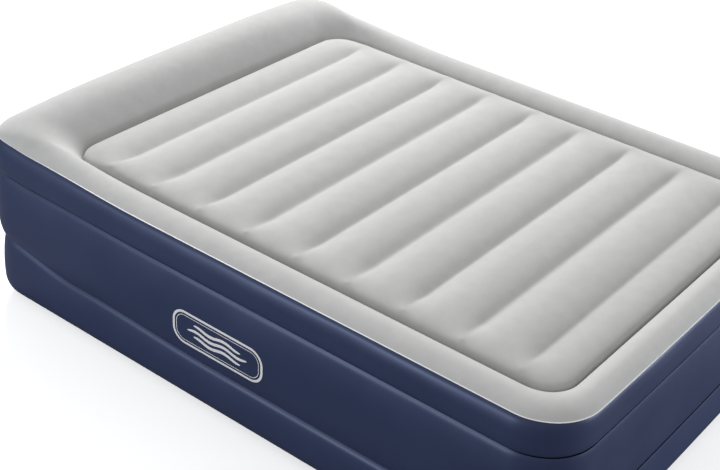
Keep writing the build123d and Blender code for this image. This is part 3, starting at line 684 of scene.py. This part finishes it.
COLOUR_DRIFT, FINE_GRAIN, EDGE_RUB = make_colour_drift(), make_fine_grain(), make_edge_rub()


def place_group(material, group, values):
    node = material.node_tree.nodes.new("ShaderNodeGroup")
    node.node_tree = group
    for label, value in values.items():
        node.inputs[label].default_value = value
    return node


def finish(
    name, shade, other, drift_scale=6.0, contrast=0.3, rough=(0.4, 0.5), grain=400.0, soft=30.0,
    soft_share=0.3, bump=0.15, bump_depth=0.0004, rub=None, settings=(),
):
    """One material: drifting colour and roughness, a grain bump and, on hard pieces, rubbed edges."""
    material = bpy.data.materials.new(name)
    material.use_nodes = True
    nodes, links = material.node_tree.nodes, material.node_tree.links
    shader = nodes["Principled BSDF"]
    drift = place_group(
        material, COLOUR_DRIFT,
        {"Shade": (*shade, 1), "Other shade": (*other, 1), "Scale": drift_scale, "Contrast": contrast},
    )
    colour = drift.outputs["Colour"]
    if rub:
        worn = place_group(material, EDGE_RUB, {"Amount": 0.6})
        mix = nodes.new("ShaderNodeMix")
        mix.data_type = "RGBA"
        mix.inputs["B"].default_value = (*rub, 1)
        links.new(worn.outputs["Mask"], mix.inputs["Factor"])
        links.new(colour, mix.inputs["A"])
        colour = mix.outputs["Result"]
    links.new(colour, shader.inputs["Base Color"])
    rough_range = nodes.new("ShaderNodeMapRange")
    rough_range.inputs["To Min"].default_value = rough[0]
    rough_range.inputs["To Max"].default_value = rough[1]
    links.new(drift.outputs["Mask"], rough_range.inputs["Value"])
    links.new(rough_range.outputs[0], shader.inputs["Roughness"])
    texture = place_group(
        material, FINE_GRAIN, {"Scale": grain, "Soft scale": soft, "Soft share": soft_share}
    )
    relief = nodes.new("ShaderNodeBump")
    relief.inputs["Strength"].default_value = bump
    relief.inputs["Distance"].default_value = bump_depth
    links.new(texture.outputs["Height"], relief.inputs["Height"])
    links.new(relief.outputs["Normal"], shader.inputs["Normal"])
    for socket, value in settings:
        shader.inputs[socket].default_value = value
    return material


FINISHES = {
    "flocked_top": finish(
        "flocked_top", (0.56, 0.56, 0.55), (0.50, 0.50, 0.495), 26.0, 0.30, (0.85, 0.97), 900.0,
        60.0, 0.35, 0.35, 0.0006,
        settings=[("Sheen Weight", 0.35), ("Sheen Roughness", 0.45), ("Specular IOR Level", 0.15)],
    ),
    "wall_pvc": finish(
        "wall_pvc", (0.026, 0.036, 0.086), (0.031, 0.043, 0.099), 5.0, 0.3, (0.34, 0.44), 700.0,
        18.0, 0.6, 0.12, 0.0008,
        settings=[("Specular IOR Level", 0.55), ("Specular Tint", (0.6, 0.7, 1.0, 1.0))],
    ),
    "base_pvc": finish(
        "base_pvc", (0.018, 0.022, 0.050), (0.024, 0.028, 0.058), 5.0, 0.3, (0.5, 0.62), 260.0,
        40.0, 0.3, 0.4, 0.001,
    ),
    "seam_pvc": finish(
        "seam_pvc", (0.84, 0.84, 0.85), (0.76, 0.76, 0.78), 30.0, 0.3, (0.4, 0.5), 500.0, 60.0, 0.3,
        0.1, 0.0004,
    ),
    "inner_web": finish(
        "inner_web", (0.55, 0.57, 0.60), (0.50, 0.52, 0.56), 8.0, 0.3, (0.35, 0.45), 300.0, 20.0,
        0.4, 0.15, 0.0006,
    ),
    "pump_plastic": finish(
        "pump_plastic", (0.030, 0.032, 0.038), (0.038, 0.040, 0.047), 22.0, 0.3, (0.42, 0.55),
        1500.0, 200.0, 0.2, 0.3, 0.0003, rub=(0.12, 0.12, 0.13),
    ),
    "housing_plastic": finish(
        "housing_plastic", (0.045, 0.045, 0.05), (0.055, 0.055, 0.06), 15.0, 0.3, (0.4, 0.5),
        1200.0, 150.0, 0.2, 0.2, 0.0003, rub=(0.14, 0.14, 0.15),
    ),
    "knob_plastic": finish(
        "knob_plastic", (0.34, 0.35, 0.37), (0.30, 0.31, 0.33), 40.0, 0.3, (0.35, 0.45), 1500.0,
        200.0, 0.2, 0.2, 0.0003, rub=(0.5, 0.5, 0.52),
    ),
    "rocker_plastic": finish(
        "rocker_plastic", (0.35, 0.02, 0.02), (0.30, 0.018, 0.018), 60.0, 0.3, (0.25, 0.32), 1500.0,
        200.0, 0.2, 0.1, 0.0002, rub=(0.45, 0.08, 0.08),
    ),
    "switch_plastic": finish(
        "switch_plastic", (0.02, 0.02, 0.022), (0.026, 0.026, 0.028), 60.0, 0.3, (0.3, 0.4), 1500.0,
        200.0, 0.2, 0.1, 0.0002, rub=(0.08, 0.08, 0.08),
    ),
    "seal_rubber": finish(
        "seal_rubber", (0.016, 0.016, 0.017), (0.022, 0.022, 0.023), 60.0, 0.3, (0.7, 0.85), 900.0,
        100.0, 0.3, 0.3, 0.0004,
    ),
    "screw_steel": finish(
        "screw_steel", (0.55, 0.56, 0.58), (0.48, 0.49, 0.51), 300.0, 0.3, (0.25, 0.38), 2500.0,
        600.0, 0.3, 0.15, 0.0001, rub=(0.7, 0.7, 0.72), settings=[("Metallic", 1.0)],
    ),
    "motor_steel": finish(
        "motor_steel", (0.45, 0.46, 0.48), (0.38, 0.39, 0.41), 90.0, 0.3, (0.35, 0.5), 1500.0,
        300.0, 0.3, 0.2, 0.0002, rub=(0.6, 0.6, 0.62), settings=[("Metallic", 1.0)],
    ),
    "bearing_brass": finish(
        "bearing_brass", (0.60, 0.42, 0.17), (0.50, 0.34, 0.13), 120.0, 0.3, (0.3, 0.45), 1500.0,
        300.0, 0.3, 0.2, 0.0002, rub=(0.75, 0.58, 0.3), settings=[("Metallic", 1.0)],
    ),
    "core_iron": finish(
        "core_iron", (0.20, 0.19, 0.19), (0.15, 0.14, 0.14), 120.0, 0.3, (0.45, 0.6), 1200.0, 300.0,
        0.3, 0.3, 0.0002, settings=[("Metallic", 1.0)],
    ),
    "lead_sheath": finish(
        "lead_sheath", (0.018, 0.018, 0.02), (0.024, 0.024, 0.026), 60.0, 0.3, (0.5, 0.6), 1200.0,
        200.0, 0.3, 0.2, 0.0003,
    ),
}


def finish_cad_pieces():
    """Every carried-over CAD piece gets the finish of its slot."""
    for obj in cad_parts.values():
        for place in obj.material_slots:
            base = place.material.name.split(".")[0] if place.material else ""
            if base in FINISHES:
                place.material = FINISHES[base]


# ---- stage ----


def make_floor():
    mesh = bpy.data.meshes.new("studio_floor")
    size = 14.0
    corners = [(-size, -size, 0), (size, -size, 0), (size, size, 0), (-size, size, 0)]
    mesh.from_pydata(corners, [], [(0, 1, 2, 3)])
    floor = bpy.data.objects.new("studio_floor", mesh)
    bpy.context.collection.objects.link(floor)
    floor.location.z = -0.0006
    paint = bpy.data.materials.new("studio_floor")
    paint.use_nodes = True
    nodes, links = paint.node_tree.nodes, paint.node_tree.links
    shader = nodes["Principled BSDF"]
    shader.inputs["Base Color"].default_value = (0.93, 0.93, 0.93, 1)
    shader.inputs["Roughness"].default_value = 0.8
    shader.inputs["Specular IOR Level"].default_value = 0.1
    shader.inputs["Emission Color"].default_value = (1, 1, 1, 1)
    shader.inputs["Emission Strength"].default_value = 0.55
    bounce = nodes.new("ShaderNodeBsdfDiffuse")
    bounce.inputs["Color"].default_value = (0.2, 0.2, 0.21, 1)
    rays = nodes.new("ShaderNodeLightPath")
    mix = nodes.new("ShaderNodeMixShader")
    links.new(rays.outputs["Is Camera Ray"], mix.inputs[0])
    links.new(bounce.outputs[0], mix.inputs[1])
    links.new(shader.outputs[0], mix.inputs[2])
    links.new(mix.outputs[0], nodes["Material Output"].inputs["Surface"])
    mesh.materials.append(paint)


def area_light(name, place, aim, size, power, shade=(1, 1, 1)):
    light = bpy.data.lights.new(name, "AREA")
    light.shape = "RECTANGLE"
    light.size, light.size_y = size
    light.energy = power
    light.color = shade
    obj = bpy.data.objects.new(name, light)
    obj.location = place
    obj.rotation_euler = (Vector(aim) - Vector(place)).to_track_quat("-Z", "Y").to_euler()
    bpy.context.collection.objects.link(obj)


def make_lights():
    world = bpy.data.worlds.new("studio")
    world.use_nodes = True
    nodes, links = world.node_tree.nodes, world.node_tree.links
    nodes["Background"].inputs["Color"].default_value = (1.0, 1.0, 1.0, 1)
    nodes["Background"].inputs["Strength"].default_value = 0.45
    seen = nodes.new("ShaderNodeBackground")
    seen.inputs["Color"].default_value = (1.0, 1.0, 1.0, 1)
    seen.inputs["Strength"].default_value = 1.0
    rays = nodes.new("ShaderNodeLightPath")
    mix = nodes.new("ShaderNodeMixShader")
    links.new(rays.outputs["Is Camera Ray"], mix.inputs[0])
    links.new(nodes["Background"].outputs[0], mix.inputs[1])
    links.new(seen.outputs[0], mix.inputs[2])
    links.new(mix.outputs[0], nodes["World Output"].inputs["Surface"])
    bpy.context.scene.world = world
    area_light("key", (4.2, 4.4, 3.9), (0, 0, 0.4), (3.0, 3.0), 565)
    area_light("end_fill", (2.2, -4.6, 0.5), (0.2, -0.9, 0.3), (3.0, 0.9), 140, (0.93, 0.96, 1.0))
    area_light("side_fill", (-4.4, 1.3, 1.1), (-0.7, -0.2, 0.4), (2.8, 1.3), 78, (0.93, 0.96, 1.0))
    bpy.context.scene.view_settings.view_transform = "Standard"


def make_camera():
    camera = bpy.data.cameras.new("camera")
    camera.sensor_width = 36.0
    camera.lens = 68.34
    camera.dof.use_dof = False
    obj = bpy.data.objects.new("camera", camera)
    bpy.context.collection.objects.link(obj)
    azimuth, elevation, roll = math.radians(-53.32), math.radians(32.01), math.radians(3.69)
    level = math.cos(elevation)
    forward = Vector((-math.sin(azimuth) * level, math.cos(azimuth) * level, -math.sin(elevation)))
    right = forward.cross(Vector((0, 0, 1))).normalized()
    up = right.cross(forward)
    tilted_right = right * math.cos(roll) + up * math.sin(roll)
    tilted_up = up * math.cos(roll) - right * math.sin(roll)
    turn = Matrix((tilted_right, tilted_up, -forward)).transposed()
    obj.matrix_world = Matrix.Translation((-2.9237, -2.0270, 2.5159)) @ turn.to_4x4()
    bpy.context.scene.camera = obj


make_camera()
make_floor()
make_lights()
finish_cad_pieces()
make_top_sheet()
make_upper_band()
make_side_print(make_middle_band())
make_lower_band()
make_bottom_sheet()
for beam in ("edge_beam_far", "edge_beam_near", "edge_beam_head", "edge_beam_foot"):
    make_edge_beam(beam)
make_waist_web("waist_web_high", upper_groove_height(SEAM_PLAN[:, 1]), "waist_web_upper")
make_waist_web("waist_web_low", lower_groove_height(SEAM_PLAN[:, 1]), "waist_web_lower")
make_top_weld()
